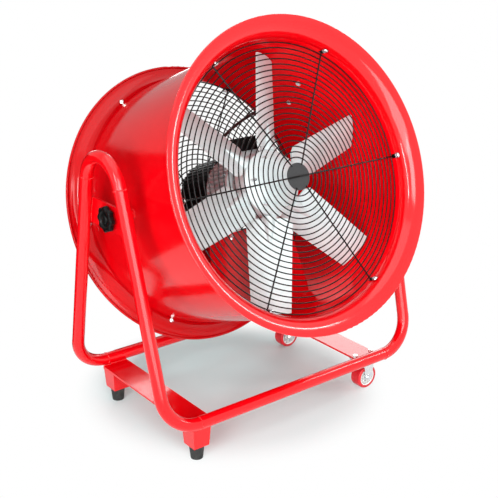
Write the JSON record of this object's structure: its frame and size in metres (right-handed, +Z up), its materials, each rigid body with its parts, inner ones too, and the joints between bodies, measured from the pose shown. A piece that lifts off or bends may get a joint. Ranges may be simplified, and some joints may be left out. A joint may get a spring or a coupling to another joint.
{
  "type": "portable drum ventilator",
  "caption": "Free-standing axial drum fan with wire guards and bell mouths, tilting on two clamped pivots in a wheeled cradle of bent tube",
  "frame": {"origin": "on the floor under the middle of the cradle", "axes": "+Z up, the discharge side faces -Y, +X is to the right seen from the discharge side"},
  "size_m": [0.776, 0.682, 0.9334],
  "materials": {
    "red_paint": "gloss",
    "black_paint": "satin",
    "grey_disc": "satin",
    "grey_paint": "satin",
    "zinc": "plated",
    "steel": "turned",
    "alloy": "cast",
    "black_plastic": "moulded",
    "white_plastic": "moulded",
    "red_plastic": "moulded",
    "black_rubber": "matte",
    "red_rubber": "matte",
    "copper": "varnished wire"
  },
  "bodies": {
    "cradle": {"left_arch": "red_paint", "right_arch": "red_paint", "front_rail": "red_paint", "rear_rail": "red_paint", "left_runner": "red_paint", "right_runner": "red_paint", "foot_posts": "red_paint", "rubber_feet": "black_rubber", "left_pivot_plate": "red_paint", "right_pivot_plate": "red_paint", "caster_forks": "zinc", "caster_axles": "zinc", "caster_bolts": "zinc", "caster_nuts": "zinc"},
    "rotor": {"motor_shaft": "steel", "rotor_core": "steel", "shaft_key": "steel", "hub_rear": "alloy", "hub_front": "alloy", "blades": "alloy", "hub_bolts": "zinc", "shaft_bolt": "zinc", "cooling_fan": "black_plastic"},
    "front_wheel": {"front_wheel_core": "white_plastic", "front_wheel_tread": "red_rubber"},
    "rear_wheel": {"rear_wheel_core": "white_plastic", "rear_wheel_tread": "red_rubber"},
    "left_knob_body": {"left_knob": "black_plastic"},
    "right_knob_body": {"right_knob": "black_plastic"},
    "rocker": {"switch_rocker": "red_plastic"},
    "drum": {"barrel": "red_paint", "front_bell": "red_paint", "rear_bell": "red_paint", "pivot_bosses": "red_paint", "motor_pedestal": "red_paint", "motor_cable": "black_rubber", "guard_screws": "zinc", "guard_nuts": "zinc", "pivot_studs": "zinc", "motor_bolts": "zinc", "switch_box_bolts": "zinc", "cover_screws": "zinc", "pivot_washers": "white_plastic", "cable_glands": "black_plastic", "switch_box": "black_plastic", "switch_lid": "black_plastic", "terminal_box": "black_plastic", "terminal_lid": "black_plastic", "fan_cowl": "black_plastic", "front_guard_rings": "black_paint", "front_guard_frame": "black_paint", "rear_guard_rings": "black_paint", "rear_guard_frame": "black_paint", "guard_discs": "grey_disc", "motor_frame": "grey_paint", "motor_front_shield": "grey_paint", "motor_rear_shield": "grey_paint", "stator_core": "steel", "motor_bearings": "steel", "stator_windings": "copper"}
  },
  "joints": [
    {"name": "tilt", "type": "hinge", "parent": "cradle", "child": "drum", "pos_m": [0, 0, 0.5285], "axis": [-1, 0, 0], "range_deg": [-110.9, 69.1]},
    {"name": "rotor_spin", "type": "hinge", "parent": "drum", "child": "rotor", "pos_m": [0, 0, 0.5285], "axis": [0, -0.9342, 0.3567], "continuous": true},
    {"name": "front_wheel_roll", "type": "hinge", "parent": "cradle", "child": "front_wheel", "pos_m": [0.258, -0.152, 0.03], "axis": [0, 1, 0], "continuous": true},
    {"name": "rear_wheel_roll", "type": "hinge", "parent": "cradle", "child": "rear_wheel", "pos_m": [0.258, 0.152, 0.03], "axis": [0, 1, 0], "continuous": true},
    {"name": "left_knob_turn", "type": "hinge", "parent": "drum", "child": "left_knob_body", "pos_m": [-0.365, 0, 0.5285], "axis": [-1, 0, 0], "range_deg": [0, 360]},
    {"name": "right_knob_turn", "type": "hinge", "parent": "drum", "child": "right_knob_body", "pos_m": [0.365, 0, 0.5285], "axis": [1, 0, 0], "range_deg": [0, 360]},
    {"name": "switch_throw", "type": "hinge", "parent": "drum", "child": "rocker", "pos_m": [0.25388, 0.10052, 0.74801], "axis": [-0.6884, 0.2588, 0.6776], "range_deg": [0, 20]}
  ]
}
